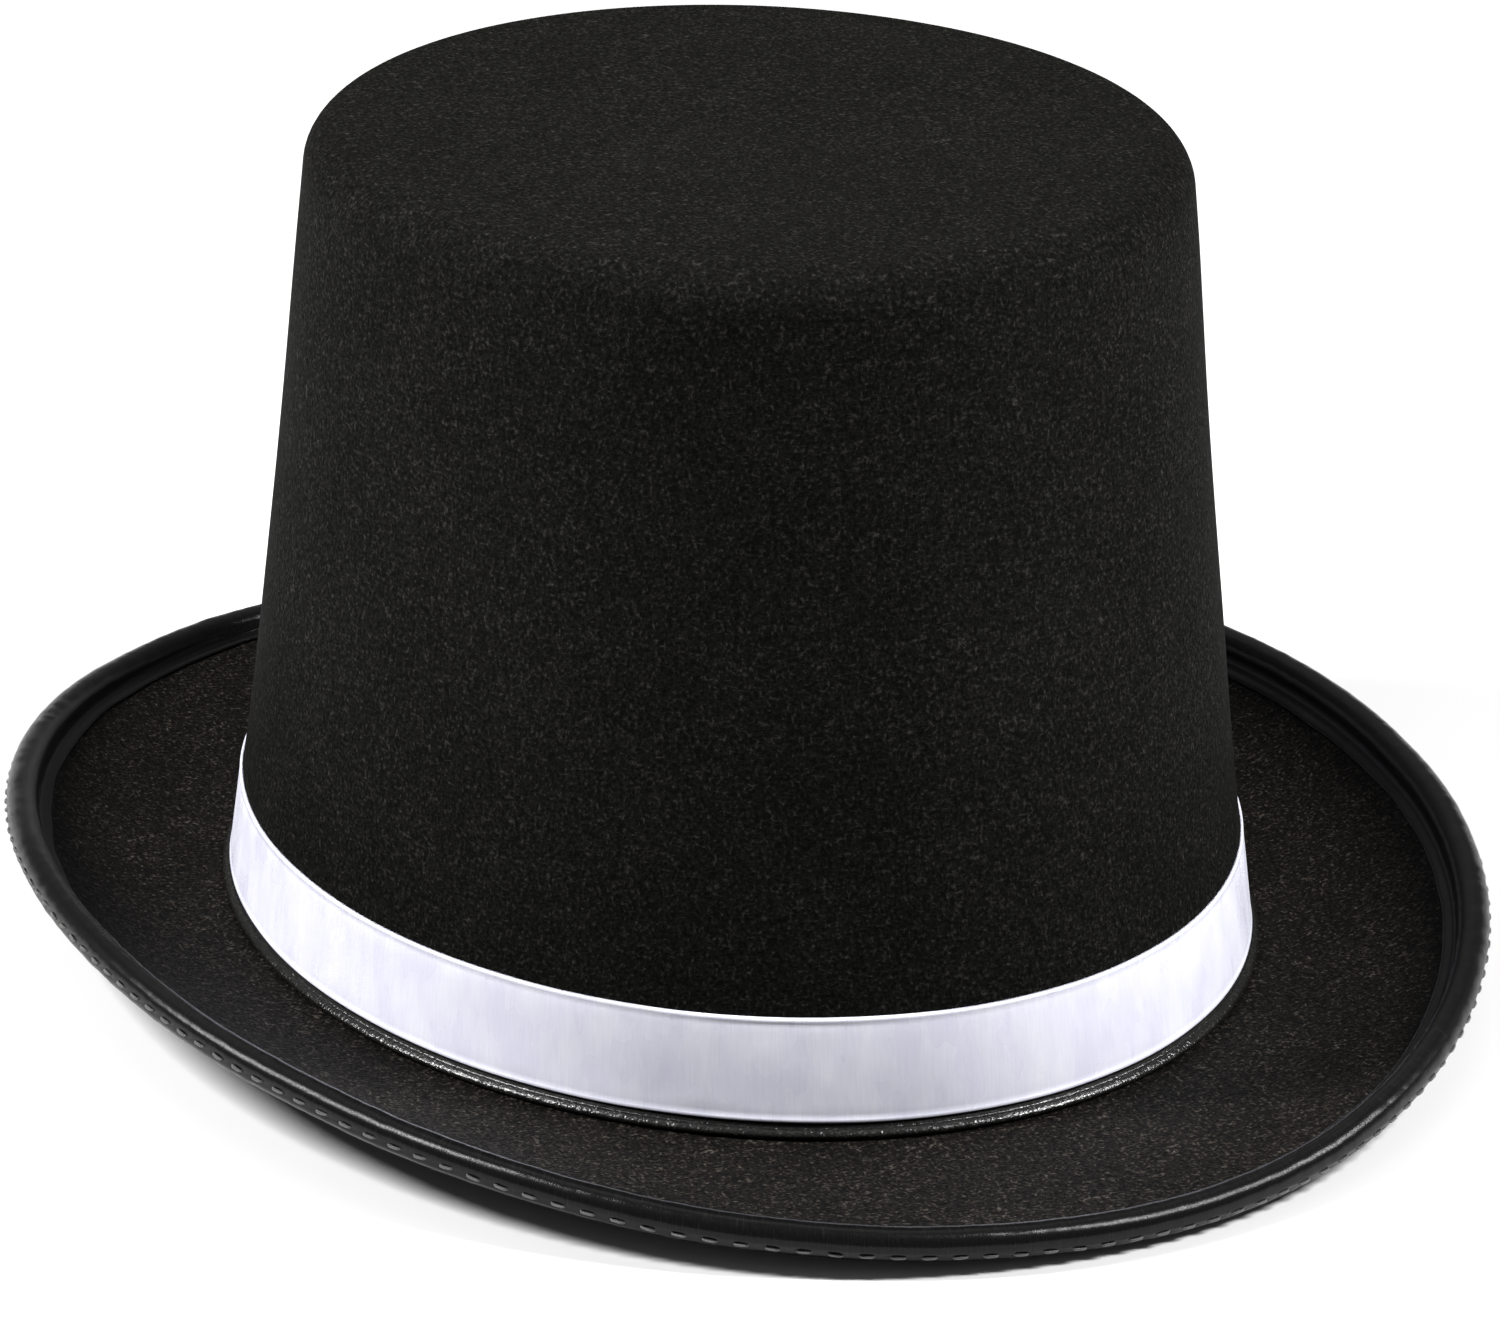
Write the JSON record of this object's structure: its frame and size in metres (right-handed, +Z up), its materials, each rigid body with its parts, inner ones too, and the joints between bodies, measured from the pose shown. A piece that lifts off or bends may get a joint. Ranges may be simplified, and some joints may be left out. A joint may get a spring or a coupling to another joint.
{
  "type": "top hat",
  "caption": "Tall oval felt top hat with a slightly tapered, flat-topped crown, a satin hatband and a dished brim with a wired and bound edge.",
  "frame": {"origin": "centre of the head opening in plan, at the underside of the brim round it, which is the lowest point of the hat", "axes": "+Z up through the crown, the front of the hat faces -Y, +X runs across the hat"},
  "size_m": [0.2596, 0.3126, 0.1459],
  "materials": {
    "crown_felt": "matt black wool felt with a short nap",
    "brim_felt": "black wool felt, pressed and slightly glossy",
    "hatband_satin": "white satin ribbon with woven edges",
    "binding_satin": "glossy black satin tape",
    "wire_steel": "drawn spring wire",
    "joiner_steel": "plain crimped sleeve",
    "sweatband_cotton": "black ribbed cotton band",
    "label_cloth": "blank white woven label",
    "dark_thread": "glossy black sewing thread",
    "light_thread": "white sewing thread",
    "sweatband_thread": "black sewing thread",
    "label_thread": "white sewing thread"
  },
  "bodies": {
    "hat": {"crown": "crown_felt", "brim": "brim_felt", "hatband": "hatband_satin", "brim_binding": "binding_satin", "brim_wire": "wire_steel", "wire_joiner": "joiner_steel", "sweatband": "sweatband_cotton", "binding_stitches": "dark_thread", "hatband_stitches": "light_thread", "sweatband_stitches": "sweatband_thread", "label_stitches": "label_thread"},
    "label": {"care_label": "label_cloth"}
  },
  "joints": [
    {"name": "label_flap", "type": "hinge", "parent": "hat", "child": "label", "pos_m": [0, 0.09523, 0.026], "axis": [-1, 0, 0], "range_deg": [-8, 150]}
  ]
}
